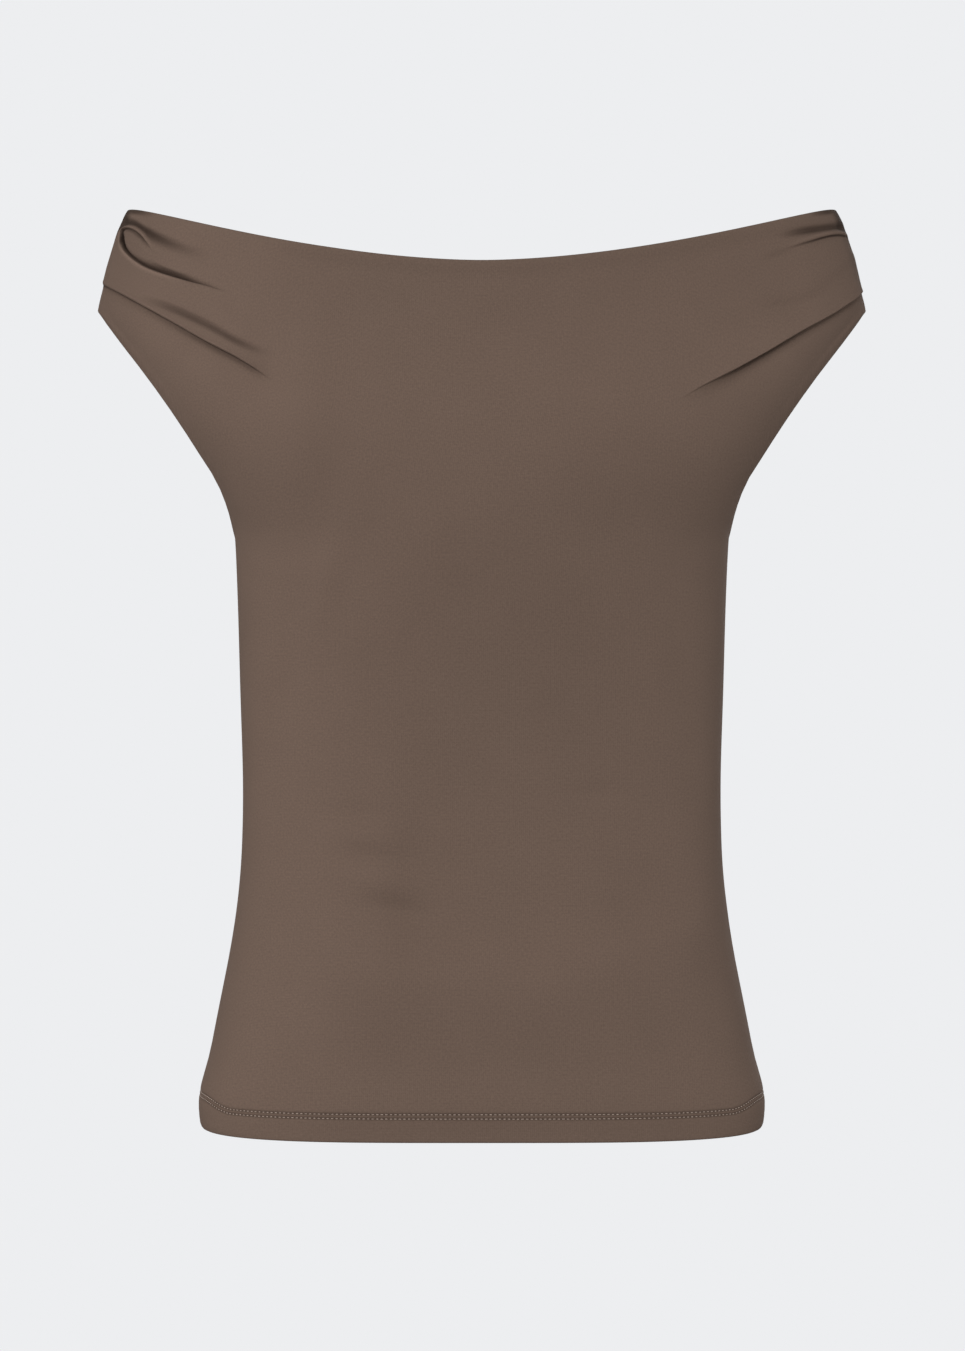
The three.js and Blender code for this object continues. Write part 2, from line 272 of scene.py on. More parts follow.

# Soft troughs: their path, how deep they are and how dark the shade painted in them is, how wide
# below their path and above it, and from where to where they run. A depth below 0 is a swell.
TROUGHS = {
    "front": [
        dict(path=[(-204, 477), (-195.5, 473.7), (-173, 464.4), (-153.6, 454.8), (-134.3, 443.7),
                   (-118, 437)],
             depth=2.2, width=2.7, above=1.6, dark=0.44, outer=-198, inner=-112, fade_out=32,
             fade_in=26),
        dict(path=[(-209.5, 521.6), (-201, 518.2), (-194, 513.4), (-181.3, 506.0), (-166, 499.0),
                   (-154, 494.9), (-140, 492)],
             depth=3.2, width=3.7, above=1.7, dark=0.82, outer=-230, inner=-148, fade_in=50),
        dict(path=[(160, 505), (170.6, 507.4), (180, 510.2), (186, 511.7), (196, 514),
                   (208, 517.3)],
             depth=3.0, width=2.6, above=1.9, dark=0.64, outer=230, inner=160, fade_in=30),
        dict(path=[(130, 447), (160, 463), (185, 475), (208, 487)],
             depth=0.6, width=4.0, dark=0.02, outer=204, inner=124, fade_out=16, fade_in=34),
        dict(path=[(150, 465.5), (162.7, 466.7), (174.5, 469.2), (184.5, 472.8), (194.8, 477.6),
                   (204.5, 483.6), (212, 489.1)],
             depth=0.9, width=2.0, dark=0.12, outer=208, inner=146, fade_out=16, fade_in=24),
        dict(path=[(140, 485), (160, 493.5), (180, 501)],
             depth=0.7, width=2.6, dark=0.14, outer=184, inner=148, fade_out=14, fade_in=18),
        dict(path=[(180, 481), (196, 487), (212, 500)],
             depth=-0.9, width=4.5, outer=222, inner=168, fade_in=30),
        dict(path=[(-188, 483), (-170, 474), (-150, 465), (-128, 452)],
             depth=-0.8, width=4.5, outer=-206, inner=-122, fade_out=24, fade_in=30),
        # The swell over the belly, which begins at a bow-shaped line.
        dict(path=[(-100, 106), (-62, 95), (-23, 88), (21, 87), (60, 92), (99, 106), (126, 118)],
             depth=-6.0, width=34, above=17, outer=-112, inner=146, fade_out=44, fade_in=44),
    ],
    "back": [
        dict(path=[(-212, 520), (-192, 511), (-170, 502), (-150, 496)],
             depth=2.6, width=3.6, dark=0.40, outer=-230, inner=-138, fade_in=40),
        dict(path=[(-212, 492), (-190, 478), (-165, 466), (-130, 458)],
             depth=1.2, width=4.5, dark=0.10, outer=-208, inner=-124, fade_out=20, fade_in=34),
        dict(path=[(150, 499), (172, 505), (194, 513), (212, 521)],
             depth=2.8, width=3.6, dark=0.42, outer=230, inner=134, fade_in=40),
        dict(path=[(124, 446), (160, 458), (190, 474), (212, 486)],
             depth=1.2, width=4.2, dark=0.10, outer=206, inner=122, fade_out=20, fade_in=34),
    ],
}

# Faint creases and hollows of the body, where the cloth is slack over the waist: x and height of
# the middle, half length and half width, tilt in degrees, and how far the cloth sinks.
SLACK = {
    "front": np.array([
        # A standing swell at the left of the waist, with short creases across its steep right side.
        (-72, 148, 82, 30, 88, -4.2), (-52, 146, 56, 12, 88, -2.2), (-70, 180, 20, 5.5, -4, 1.3),
        (-60, 156, 16, 5.0, -6, 1.7), (-50, 127, 20, 6.0, -8, 3.4), (-66, 168, 20, 5.5, -8, -1.3),
        (-58, 143, 18, 5.5, -10, -1.4), (64, 192, 14, 6, 2, 1.3),
        # Long shallow folds that run up beside the bust.
        (-108, 262, 60, 9, 76, 2.0), (-94, 300, 50, 10, 70, -1.8), (112, 250, 62, 9, -80, 1.4),
        (96, 300, 52, 12, -74, -1.2),
        # The bust, the hollows below it, and a soft ridge down from the end of the left pleats.
        (-74, 400, 40, 24, 8, -2.0), (-80, 342, 42, 24, 0, 2.2), (72, 398, 36, 24, -8, -2.0),
        (74, 340, 36, 24, 0, 2.2), (-98, 415, 52, 17, 80, -2.8),
    ]),
    "back": np.array([
        (-62, 196, 44, 9, -10, 1.5), (66, 202, 46, 9, 12, 1.5), (-50, 170, 38, 8, 6, 1.0),
        (40, 176, 40, 8, -8, 1.1), (-96, 240, 60, 14, 80, 0.9), (100, 250, 60, 15, -78, 0.9),
        (0, 330, 16, 90, 0, 1.2),
    ]),
}

# The hem is a band that rolls in a little below its stitching, and a little further at its
# rounded corners.
HEM_ROLL = 1.9
CORNER_ROLL = 0.7
STITCH_ROWS = (13.0, 15.4)
ROW_RISE = 4.8              # how much higher the rows run where they meet a side seam
GROOVE_DEPTH, GROOVE_WIDTH = 0.55, 0.60
# Painted shade along the stitch rows' grooves: how dark, and how wide.
GROOVE_DARK, GROOVE_DARK_WIDTH = 0.50, 0.8


def row_rise(from_seam):
    """How much higher the hem's rows run at a distance from the side seam."""
    return ROW_RISE * (1 - smoothstep(60, 110, from_seam))


def height_on(path, x):
    xs, heights = zip(*path)
    return smooth_table(xs, heights, x)


def beside(path, at):
    """Distance above a fold's path, square to it: how much higher a point lies than the path does
    at its x, over how fast that grows along the cloth."""
    def excess(points):
        return points[..., 2] + HOLD_HEIGHT - height_on(path, points[..., 0])
    return excess(at.here) / np.hypot((excess(at.right) - excess(at.left)) / at.wide,
                                      (excess(at.above) - excess(at.below)) / at.tall)


def share_along(fold, x):
    """1 along a fold from its outer end at the cap to its inner end, easing to 0 over the fades."""
    way = np.sign(fold["outer"])
    outer, inner, fade_out = way * fold["outer"], way * fold["inner"], fold.get("fade_out")
    begun = 1 - smoothstep(outer - fade_out, outer, way * x) if fade_out else 1
    return begun * smoothstep(inner, inner + fold["fade_in"], way * x)


def lap(fold, offset):
    """How far a pleat that laps downwards stands out: full lift at the crease with a slight ridge,
    a bell above it, a steep fall below it, and a hollow under its lip that eases out over several
    millimetres."""
    below = fold["below"]
    rise = np.where(offset > 0, bell(offset, fold["above"]), 1 - smoothstep(0, below, -offset))
    ridge = LIP_RIDGE * bell(offset - LIP_RIDGE_PLACE, LIP_RIDGE_PLACE)
    hollow = fold["hollow"] * bell(offset + below + HOLLOW_DROP, HOLLOW_WIDTH) * (offset < 0.5)
    return fold["lift"] * (rise + ridge) - hollow


def lap_shade(fold, offset, at):
    """The painted shade beside a lapped pleat: a thin dark line where the lip lies on the cloth,
    and a softer shade that eases out below it. Just above its crease the lip may be painted light."""
    more, middle, width = fold.get("deeper", (0, 0, 1))
    soft = fold["soft"] + more * bell(at.x - middle, width)
    further, start, end = fold.get("spread", (0, 0, 1))
    reach = LIP_SHADE_REACH + further * smoothstep(start, end, at.x)
    drop = offset + fold["below"]
    line = LIP_LINE * bell(drop, LIP_LINE_WIDTH)
    shade = np.maximum(line, soft * bell(drop, reach) * (offset < -fold["below"] / 2))
    light = fold.get("light", 0) * bell(offset - LIP_LIGHT_PLACE, LIP_LIGHT_PLACE)
    return (1 - fold.get("paler", 0) * bell(at.from_seam, PALER_WIDTH)) * shade - light


def darker(shade, other):
    """The deeper of two shades, except that a light lip keeps most of its light."""
    return shade + np.maximum(other - np.maximum(shade, 0), 0) * (1 + np.minimum(shade, 0))


def rounded_min(one, other, reach):
    """The smaller of two distances, rounded off where they differ by less than the reach."""
    near = np.clip(1 - np.abs(one - other) / reach, 0, 1)
    return np.minimum(one, other) - reach / 4 * near**2


# The tuck at the left cap: x of its tip, between which x its two sides fade in, and where and over
# what width its valley is broadest.
TUCK_TIP = -208.2
TUCK_LOWER_FADE = (-138, -172)
TUCK_UPPER_FADE = (-186, -194)
TUCK_BROAD, TUCK_BROAD_WIDTH = -178, 17
TUCK_FLOOR, TUCK_BROAD_FLOOR = 0.6, 2.9         # how wide the valley's floor is
TUCK_LOWER_DEPTH, TUCK_BROAD_DEPTH, TUCK_UPPER_DEPTH = 1.8, 1.6, 1.2
TUCK_SLIDE = 0.5
# Painted shade in the tuck: how dark along its lower and upper valley, at its tip and inside the
# loop; and how much lighter its rolled rim is painted.
TUCK_LOWER_DARK, TUCK_UPPER_DARK, TUCK_TIP_DARK, TUCK_INNER_DARK = 0.78, 0.64, 0.40, 0.14
TUCK_RIM_LIGHT = 0.8


def tuck(x, from_lower, from_upper):
    """The loop-shaped tuck at the left cap: a narrow rolled lip all round it, and a valley just
    inside the lip that is wider and deeper along the lower side. Returns the lift, the slide
    downwards and the painted shade, which is below 0 where a highlight is painted on the rolled
    lip."""
    from_tip = x - TUCK_TIP
    inside = rounded_min(rounded_min(from_lower, from_tip, 4), -from_upper, 2)
    on_lower = smoothstep(-1.5, 1.5, -from_upper - from_lower)
    on_upper = 1 - on_lower
    part = smoothstep(*TUCK_LOWER_FADE, x) * on_lower + smoothstep(*TUCK_UPPER_FADE, x) * on_upper
    broad = bell(x - TUCK_BROAD, TUCK_BROAD_WIDTH) * on_lower
    half_floor = (TUCK_FLOOR + TUCK_BROAD_FLOOR * broad) / 2
    depth = (TUCK_LOWER_DEPTH + TUCK_BROAD_DEPTH * broad) * on_lower + TUCK_UPPER_DEPTH * on_upper

    lip = np.where(inside < 0, bell(inside, 5.5), 1 - smoothstep(0, 0.7, inside))
    lip = lip + 0.35 * bell(inside + 0.8, 0.7)
    valley = depth * bell(inside - 0.8 - half_floor, 0.8 + half_floor) * smoothstep(0, 0.9, inside)
    slide = TUCK_SLIDE * bell(inside + 0.3, 1.0) * on_lower

    # Painted shade in the valley, at the tip and inside the loop, less a painted highlight on the
    # rim.
    dark = TUCK_LOWER_DARK * on_lower + TUCK_UPPER_DARK * on_upper
    dark = dark + TUCK_TIP_DARK * bell(from_tip, 4.0)
    shade = dark * bell(inside - 0.5 - half_floor, 0.45 + half_floor)
    inner = TUCK_INNER_DARK * smoothstep(0, 1, inside) * (1 - smoothstep(-200, -182, x))
    between_lips = smoothstep(-1, 0.5, from_lower) * smoothstep(-0.8, 0.6, -from_upper)
    tip = bell(from_tip - 0.9, 1.0) * between_lips
    rim = bell(inside + 0.9, 0.8) * (1 - smoothstep(-186, -160, x) * on_lower)
    shade = np.maximum(np.maximum(shade, inner), tip) - TUCK_RIM_LIGHT * rim
    return part * (lip - valley), -part * slide, part * shade


# How dark the broad shades are.
GATHERED_DARK = {"front": 0.76, "back": 0.40}
NECK_END_DARK = 0.70
TURNED_AWAY_DARK = 0.42
CAP_DARK = 0.09
NECKLINE_DARK, NECKLINE_BAND_DARK = 0.055, 0.06


def broad_shades(side, at):
    """The shades of larger parts: where the cap's folds run together at the top of the seam, the
    outer ends of the neckline's edge, the side of the right cap that is turned away, the caps as a
    whole, and below the neckline."""
    at_corner = (1 - smoothstep(20, 38, at.from_seam)) * smoothstep(511, 516, at.height)
    neck_end = (1 - smoothstep(1.8, 4.6, at.from_top)) * (1 - smoothstep(34, 74, at.from_seam))
    turned_away = (1 - smoothstep(6, 48, at.from_seam)) * smoothstep(466, 480, at.height)
    cap = (1 - smoothstep(40, 120, at.from_seam)) * smoothstep(420, 460, at.height)
    neckline = NECKLINE_DARK * (1 - smoothstep(15, 80, at.from_top))
    neckline = neckline + NECKLINE_BAND_DARK * bell(at.from_top - 6, 4.5)
    return (GATHERED_DARK[side] * at_corner, NECK_END_DARK * neck_end,
            TURNED_AWAY_DARK * turned_away * (at.x > 0), CAP_DARK * cap,
            neckline * smoothstep(-130, -85, at.x))


def sag(side, at):
    """How far the slack cloth sinks: a bell along and across each faint crease."""
    sunk = 0
    for middle_x, middle_height, length, width, tilt, depth in SLACK[side]:
        cosine, sine = np.cos(np.radians(tilt)), np.sin(np.radians(tilt))
        aside, higher = at.x - middle_x, at.height - middle_height
        along_it, beside_it = aside * cosine + higher * sine, higher * cosine - aside * sine
        sunk = sunk + depth * bell(along_it, length) * bell(beside_it, width)
    return sunk


def hem_roll(at):
    """How far the hem's band stands out above its rolled edge, less what its corners roll in."""
    band = smoothstep(0, 18, at.from_hem) - smoothstep(18, 46, at.from_hem)
    corner = smoothstep(70, 135, np.abs(at.x)) * smoothstep(0, 30, at.from_seam)
    return HEM_ROLL * band - CORNER_ROLL * corner * (1 - smoothstep(0, 13, at.from_hem))


def pleats(side, at):
    """How far the pleats, troughs and slack creases move the cloth along the normal, how far the
    lips slide down over what they cover, and how much shade is painted at each point: 1 deep in a
    crease, 0 in the open and below 0 on a lip where a highlight is painted."""
    offsets = {name: beside(path, at) for name, path in PATHS[side].items()}
    lift = slide = shade = 0
    if side == "front":
        lift, slide, shade = tuck(at.x, offsets["lower_lip"], offsets["upper_lip"])
    for fold in LAPS[side]:
        offset = offsets[fold["path"]]
        strength = share_along(fold, at.x)
        slide_middle, slide_width = fold["slide_place"]
        lift = lift + strength * lap(fold, offset)
        slide = slide + strength * fold["slide"] * bell(offset - slide_middle, slide_width)
        shade = shade + strength * lap_shade(fold, offset, at)
    held = smoothstep(0, 46, at.from_seam)
    lift, slide = held * lift, held * slide

    pressed = smoothstep(2, 24, at.from_seam)
    for trough in TROUGHS[side]:
        offset = beside(trough["path"], at)
        width = np.where(offset > 0, trough.get("above", trough["width"]), trough["width"])
        strength = share_along(trough, at.x) * bell(offset, width)
        lift = lift - pressed * trough["depth"] * strength
        # painted shade in the trough
        shade = darker(shade, trough.get("dark", 0) * strength)
    for part in broad_shades(side, at):
        shade = darker(shade, part)

    lift = lift - sag(side, at) + hem_roll(at)
    # The stitch rows sink in grooves, with painted shade along them.
    for row in STITCH_ROWS:
        from_row = at.from_hem - row - row_rise(at.from_seam)
        lift = lift - GROOVE_DEPTH * bell(from_row, GROOVE_WIDTH)
        shade = darker(shade, GROOVE_DARK * bell(from_row, GROOVE_DARK_WIDTH))
    return lift, slide, shade


CROWDING = 1.8


def crowded(low, high, count, at_low, at_high):
    """Rows of shares from low to high, closer together at the ends that are asked for, by tanh."""
    t = np.linspace(0, 1, count, endpoint=False)[:, None]
    if at_low and at_high:
        t = (1 + np.tanh(CROWDING * (2 * t - 1)) / np.tanh(CROWDING)) / 2
    elif at_high:
        t = np.tanh(CROWDING * t) / np.tanh(CROWDING)
    elif at_low:
        t = 1 - np.tanh(CROWDING * (1 - t)) / np.tanh(CROWDING)
    return low + (high - low) * t


# Heights of the grid's first rows, which follow the hem. From there on, how many rows there are
# in each stretch up to the neckline, and between which heights they lie closer over the creases
# of the waist.
HEM_ROWS = np.array([0, 1.5, 4, 7, 9.6, 11.4, 12.3, 13.0, 13.7, 14.2, 14.7, 15.4, 16.1, 17.0, 19.0,
                     22])
GRID_ROWS = {"front": (9, 28, 15, 36, 42, 24, 24), "back": (8, 16, 12, 34, 30, 26)}
WAIST = (112, 226)
LEAST_ROW = 0.002           # share
# Columns of the front's left part, middle and right part, which meet at a share across.
FRONT_COLUMNS = (104, 46, 96)
MIDDLE_SHARE = 0.34
BACK_COLUMNS = 180


def path_row(side, path, columns):
    """The share up at which each column crosses a path, between two close trial rows."""
    trial = np.linspace(0.70, 1, 241)
    points = form(side, columns[None, :], trial[:, None])
    excess = points[..., 2] + HOLD_HEIGHT - height_on(path, points[..., 0])
    after = np.clip((excess < 0).sum(axis=0), 1, len(trial) - 1)
    low, high = np.take_along_axis(excess, np.stack([after - 1, after]), axis=0)
    part = np.clip(-low / (high - low), 0, 1)
    return (trial[after - 1] + (trial[after] - trial[after - 1]) * part)[None, :]


def grid(side):
    """The shares of a panel's grid: columns that are closer over the caps, and rows that follow the
    folds' paths and crowd beside them."""
    if side == "front":
        left, middle, right = FRONT_COLUMNS
        columns = np.concatenate([np.linspace(-1, -MIDDLE_SHARE, left),
                                  np.linspace(-MIDDLE_SHARE, MIDDLE_SHARE, middle)[1:],
                                  np.linspace(MIDDLE_SHARE, 1, right)[1:]])
    else:
        columns = np.linspace(-1, 1, BACK_COLUMNS)
    paths = [path_row(side, path, columns) for path in PATHS[side].values()]
    for lower, upper in zip(paths, paths[1:]):
        upper[:] = np.maximum(upper, lower + LEAST_ROW)
    paths.append(np.ones_like(paths[0]))
    belly_rows, waist_rows, rib_rows, chest_rows, *fold_rows = GRID_ROWS[side]
    lowest = surroundings(side, columns, np.zeros_like(columns))
    rise = row_rise(lowest.from_seam) * smoothstep(0, STITCH_ROWS[0], HEM_ROWS)[:, None]
    hem = (HEM_ROWS[:, None] + rise) / lowest.mm_up
    hem_top = hem[-1:] + (HEM_ROWS[-1] - HEM_ROWS[-2]) / lowest.mm_up
    underarm = np.full_like(paths[0], UNDERARM_SHARE)
    below_waist, above_waist = (np.full_like(hem_top, height * UNDERARM_SHARE / UNDERARM_HEIGHT)
                                for height in WAIST)
    rows = [hem, crowded(hem_top, below_waist, belly_rows, False, False),
            crowded(below_waist, above_waist, waist_rows, False, False),
            crowded(above_waist, underarm, rib_rows, False, False),
            crowded(underarm, paths[0], chest_rows, True, True)]
    rows += [crowded(lower, upper, count, True, upper is not paths[-1])
             for lower, upper, count in zip(paths, paths[1:], fold_rows)]
    return columns, np.concatenate(rows + paths[-1:])


EDGE_TURN = np.radians([0, 35, 65, 90])


def shell(side):
    """A panel's closed shell. A middle sheet carries half the cloth's thickness to each side, and
    past each edge the thickness turns over in a half circle. Returns points in millimetres for the
    outer and the inner face, the lengths along the cloth for its pattern, and its painted shade."""
    columns, rows = grid(side)
    turned = len(EDGE_TURN) - 1
    columns = np.pad(columns, turned, mode="edge")
    rows = np.pad(rows, turned, mode="edge")
    around, over = np.zeros(len(columns)), np.zeros(len(rows))
    for turn in (around, over):
        turn[-turned:], turn[:turned] = EDGE_TURN[1:], -EDGE_TURN[:0:-1]

    across = np.broadcast_to(columns, rows.shape)
    edge = surroundings(side, across, rows)
    in_hem = edge.from_hem - row_rise(edge.from_seam) < HEM_DEPTH
    thickness = np.where(in_hem, HEM_CLOTH, CLOTH)
    across = across * (1 - thickness / 2 / edge.mm_across)
    inset = CLOTH / 2 / edge.mm_up
    at = surroundings(side, across, inset + rows * (1 - 2 * inset))
    lift, slide, shade = pleats(side, at)
    outer = at.here + at.normal * lift[..., None] - at.upwards * slide[..., None]

    faces = []
    reach = thickness[..., None] / 2
    turn_across, turn_up = around[None, :, None], over[:, None, None]
    middle = outer - at.normal * reach
    turned_out = np.sin(turn_across) * at.sideways + np.sin(turn_up) * at.upwards
    for way in (1, -1):
        flat_part = way * np.cos(turn_across) * np.cos(turn_up)
        points = middle + reach * (flat_part * at.normal + turned_out)
        off_plane = np.maximum(OUTWARDS[side] * points[..., 1], SEAM_CLEARANCE)
        points[..., 1] = OUTWARDS[side] * off_plane
        faces.append(points)

    step_x = np.linalg.norm(np.diff(middle, axis=1), axis=-1)
    step_z = np.linalg.norm(np.diff(middle, axis=0), axis=-1)
    along_row = np.pad(np.cumsum(step_x, axis=1), ((0, 0), (1, 0)))
    along_row -= along_row[:, along_row.shape[1] // 2][:, None]
    along_column = np.pad(np.cumsum(step_z, axis=0), ((1, 0), (0, 0)))
    return faces, np.stack([along_row, along_column], axis=-1), shade


def srgb(hex_colour):
    """An sRGB hex colour as linear red, green, blue and alpha."""
    values = np.array([int(hex_colour[i:i + 2], 16) for i in (1, 3, 5)]) / 255
    linear = np.where(values <= 0.04045, values / 12.92, ((values + 0.055) / 1.055) ** 2.4)
    return (*linear, 1.0)


def node(tree, kind, settings=None, **links):
    """Adds one shader node. Settings are its properties, or its input sockets by name or number;
    links are inputs (i0, i1 or the socket's name in lower case) and the outputs that feed them."""
    made = tree.nodes.new(kind)
    for name, value in (settings or {}).items():
        if isinstance(name, str) and hasattr(made, name):
            setattr(made, name, value)
        else:
            made.inputs[name].default_value = value
    for name, output in links.items():
        numbered = name[0] == "i" and name[1:].isdigit()
        socket = made.inputs[int(name[1:]) if numbered else name.replace("_", " ").title()]
        tree.links.new(output, socket)
    return made


def mesh_object(name, points, faces, material):
    """A smooth-shaded object at the origin from points in millimetres and faces of four corners."""
    mesh = bpy.data.meshes.new(name)
    mesh.vertices.add(len(points))
    mesh.vertices.foreach_set("co", (points * MM).astype(np.float32).ravel())
    mesh.loops.add(faces.size)
    mesh.loops.foreach_set("vertex_index", faces.astype(np.int32).ravel())
    mesh.polygons.add(len(faces))
    mesh.polygons.foreach_set("loop_start", np.arange(len(faces), dtype=np.int32) * 4)
    mesh.polygons.foreach_set("loop_total", np.full(len(faces), 4, np.int32))
    mesh.polygons.foreach_set("use_smooth", np.ones(len(faces), bool))
    mesh.update(calc_edges=True)
    mesh.materials.append(material)
    made = bpy.data.objects.new(name, mesh)
    bpy.context.scene.collection.objects.link(made)
    return made


def panel(side, material):
    """A panel: its outer and inner faces share the points of the turned edges, which closes it."""
    (outer, inner), pattern, shade = shell(side)
    rows, columns = outer.shape[:2]
    index = np.arange(rows * columns).reshape(rows, columns)
    inner_index = index.copy()
    inside = np.arange((rows - 2) * (columns - 2)).reshape(rows - 2, -1)
    inner_index[1:-1, 1:-1] = rows * columns + inside

    def quads(ids, flip):
        corners = [ids[:-1, :-1], ids[:-1, 1:], ids[1:, 1:], ids[1:, :-1]]
        return np.stack(corners[::-1] if flip else corners, axis=-1).reshape(-1, 4)

    faces = np.concatenate([quads(index, side == "back"), quads(inner_index, side == "front")])
    points = np.concatenate([outer.reshape(-1, 3), inner[1:-1, 1:-1].reshape(-1, 3)])
    made = mesh_object(f"{side}_cloth", points, faces, material)
    flat = np.concatenate([pattern.reshape(-1, 2), pattern[1:-1, 1:-1].reshape(-1, 2)])
    layer = made.data.uv_layers.new(name="cloth")
    layer.data.foreach_set("uv", (flat * MM)[faces.ravel()].astype(np.float32).ravel())
    # The painted shade, with painted highlights below 0, goes to the cloth's colour as a point
    # attribute.
    shades = np.concatenate([shade.ravel(), shade[1:-1, 1:-1].ravel()])
    painted_shade = made.data.attributes.new("painted_shade", "FLOAT", "POINT")
    painted_shade.data.foreach_set("value", shades.astype(np.float32))
    return made


STITCH_PITCH = 2.5
STITCH_LENGTH = 1.5
STITCH_UNEVEN = 0.06        # share of the length, as a standard deviation
STITCH_STANDS, STITCH_SINKS = 0.10, 0.16    # its middle's height over the cloth, its ends' drop
STITCH_SEED = {"front": 11, "back": 12}
THREAD = 0.52
STITCH_SIDES = 6
STITCH_RINGS = 5
END_CUT = 0.16              # share of the half sine that is cut off at each end of a capsule
ROW_END = 0.995             # share across
ROW_SAMPLES = 4000


def stitches(side, material):
    """Both rows of a panel's hem stitching, as one mesh: on each row, capsules of thread one pitch
    apart, whose rings shrink to their ends by a sine and sink a little into the cloth there. Two
    faces of four corners close each end's ring of six."""
    across = np.linspace(-ROW_END, ROW_END, ROW_SAMPLES)
    points, faces = [], []
    rng = np.random.default_rng(STITCH_SEED[side])
    share = np.linspace(-1, 1, STITCH_RINGS)
    ring_size = THREAD / 2 * np.sin(np.pi * (END_CUT + (1 - 2 * END_CUT) * (share + 1) / 2))
    turn = np.arange(STITCH_SIDES) * 2 * np.pi / STITCH_SIDES
    for row in STITCH_ROWS:
        guess = surroundings(side, across, np.full_like(across, row / NECK_MIDDLE_HEIGHT[side]))
        at = surroundings(side, across, (row + row_rise(guess.from_seam)) / guess.mm_up)
        lift, *_ = pleats(side, at)
        path = at.here + at.normal * lift[:, None]
        steps = np.linalg.norm(np.diff(path, axis=0), axis=1)
        length = np.concatenate([[0], np.cumsum(steps)])
        count = int(length[-1] // STITCH_PITCH)
        middles = (np.arange(count) + 0.5) * length[-1] / count
        own_length = STITCH_LENGTH * (1 + STITCH_UNEVEN * rng.standard_normal(count))
        places = middles[:, None] + own_length[:, None] / 2 * share

        def carried(values):
            return np.stack([np.interp(places, length, values[:, k]) for k in range(3)], axis=-1)

        stand = (STITCH_STANDS - STITCH_SINKS * share**2)[None, :, None]
        centre = carried(path) + carried(at.normal) * stand
        out = carried(at.normal)[:, :, None] * np.cos(turn)[None, None, :, None]
        along = carried(at.upwards)[:, :, None] * np.sin(turn)[None, None, :, None]
        rings = centre[:, :, None] + ring_size[None, :, None, None] * (out + along)
        start = sum(len(p) for p in points)
        points.append(rings.reshape(-1, 3))
        ids = start + np.arange(rings[..., 0].size).reshape(count, STITCH_RINGS, STITCH_SIDES)
        after = np.roll(ids, -1, axis=2)
        tube = np.stack([ids[:, :-1], ids[:, 1:], after[:, 1:], after[:, :-1]], axis=-1)
        caps = [ids[:, ring][:, corners] for ring, corners in
                ((0, [0, 1, 2, 3]), (0, [0, 3, 4, 5]), (-1, [3, 2, 1, 0]), (-1, [5, 4, 3, 0]))]
        quads = np.concatenate([part.reshape(-1, 4) for part in (tube, *caps)])
        faces.append(quads if side == "front" else quads[:, ::-1])
    return mesh_object(f"{side}_hem_stitches", np.concatenate(points), np.concatenate(faces),
                       material)


def new_material(name):
    """An empty material, and its tree of nodes."""
    material = bpy.data.materials.new(name)
    material.use_nodes = True
    material.node_tree.nodes.clear()
    return material, material.node_tree


# Fine stretch jersey of polyamide and elastane: knitted, so its face has columns of small loops,
# and brushed matt, so it shows no gloss and hardly a sheen.
JERSEY = srgb("#6e5c51")
# The colour that the painted shade in creases and shaded parts mixes towards.
JERSEY_PAINTED_SHADE = srgb("#20150f")
JERSEY_SHEEN = srgb("#b8a08f")
WALE = 1.1          # mm between columns of loops, drawn about three times too coarse, to show
COURSE = 0.9        # mm between rows of loops, drawn as coarse as the wales
LOOP_BEND = 0.8     # how far the rows bend from column to column, in radians
FUZZ = 1.3          # mm, the brushed face
CLOUD = 38          # mm, the dye
THREAD_DARK = srgb("#a08d80")
THREAD_LIGHT = srgb("#bfada0")
THREAD_TWIST = 0.6  # mm


